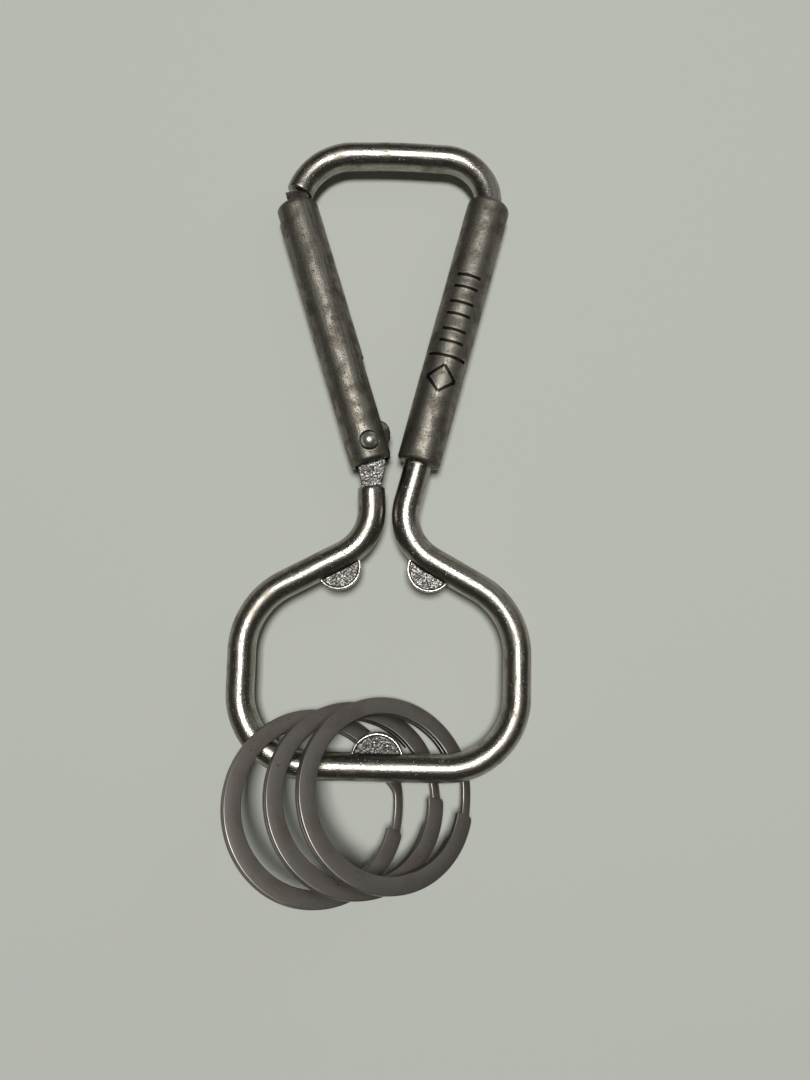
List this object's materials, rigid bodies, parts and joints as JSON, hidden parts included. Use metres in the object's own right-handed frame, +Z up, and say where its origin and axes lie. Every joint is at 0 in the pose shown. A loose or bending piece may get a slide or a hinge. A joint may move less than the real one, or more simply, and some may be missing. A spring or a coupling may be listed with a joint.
{
  "type": "split key ring set on an opener carabiner",
  "caption": "Flat split key rings threaded on the bar of a die-cast carabiner with a sprung gate and a bottle-opener loop.",
  "frame": {"origin": "middle of the footprint, on the surface that the part lies on", "axes": "+X across the loop with the fixed sleeve on the +X side, +Y from the split rings to the hook, +Z up through the thickness"},
  "size_m": [0.0468, 0.1196, 0.0164],
  "materials": {
    "antique_casting": "antique silver plate over die-cast zinc, dark in the recesses and worn bright on the crests",
    "rivet_nickel": "polished nickel",
    "spring_steel": "bright drawn wire",
    "plunger_steel": "turned steel",
    "ring_steel": "satin gunmetal plate with paler rubbed edges"
  },
  "bodies": {
    "frame": {"carabiner_frame": "antique_casting"},
    "gate": {"gate": "antique_casting", "gate_rivet": "rivet_nickel", "gate_spring": "spring_steel"},
    "plunger": {"spring_plunger": "plunger_steel"},
    "left_ring": {"split_ring_left": "ring_steel"},
    "middle_ring": {"split_ring_middle": "ring_steel"},
    "right_ring": {"split_ring_right": "ring_steel"}
  },
  "joints": [
    {"name": "gate_hinge", "type": "hinge", "parent": "frame", "child": "gate", "pos_m": [-0.00235, 0.00899, 0.00448], "axis": [0, -0.0248, -0.9997], "range_deg": [0, 32], "stiffness_Nm_per_rad": 0.06, "springref_deg": -18.91},
    {"name": "plunger_slide", "type": "slide", "parent": "gate", "child": "plunger", "axis": [-0.3059, 0.9518, -0.0236], "range_m": [0, 0.000985], "deforming": ["gate_spring"]},
    {"name": "left_ring_turn", "type": "hinge", "parent": "frame", "child": "left_ring", "pos_m": [-0.0087, -0.04619, 0.00823], "axis": [0.4176, 0.3262, 0.8481], "continuous": true},
    {"name": "middle_ring_turn", "type": "hinge", "parent": "frame", "child": "middle_ring", "pos_m": [-0.0028, -0.04489, 0.00823], "axis": [0.4176, 0.3262, 0.8481], "continuous": true},
    {"name": "right_ring_turn", "type": "hinge", "parent": "frame", "child": "right_ring", "pos_m": [0.0018, -0.04409, 0.00823], "axis": [0.4176, 0.3262, 0.8481], "continuous": true}
  ],
  "couplings": [
    {"joint": "plunger_slide", "follows": "gate_hinge", "m_per_rad": 0.00168}
  ]
}
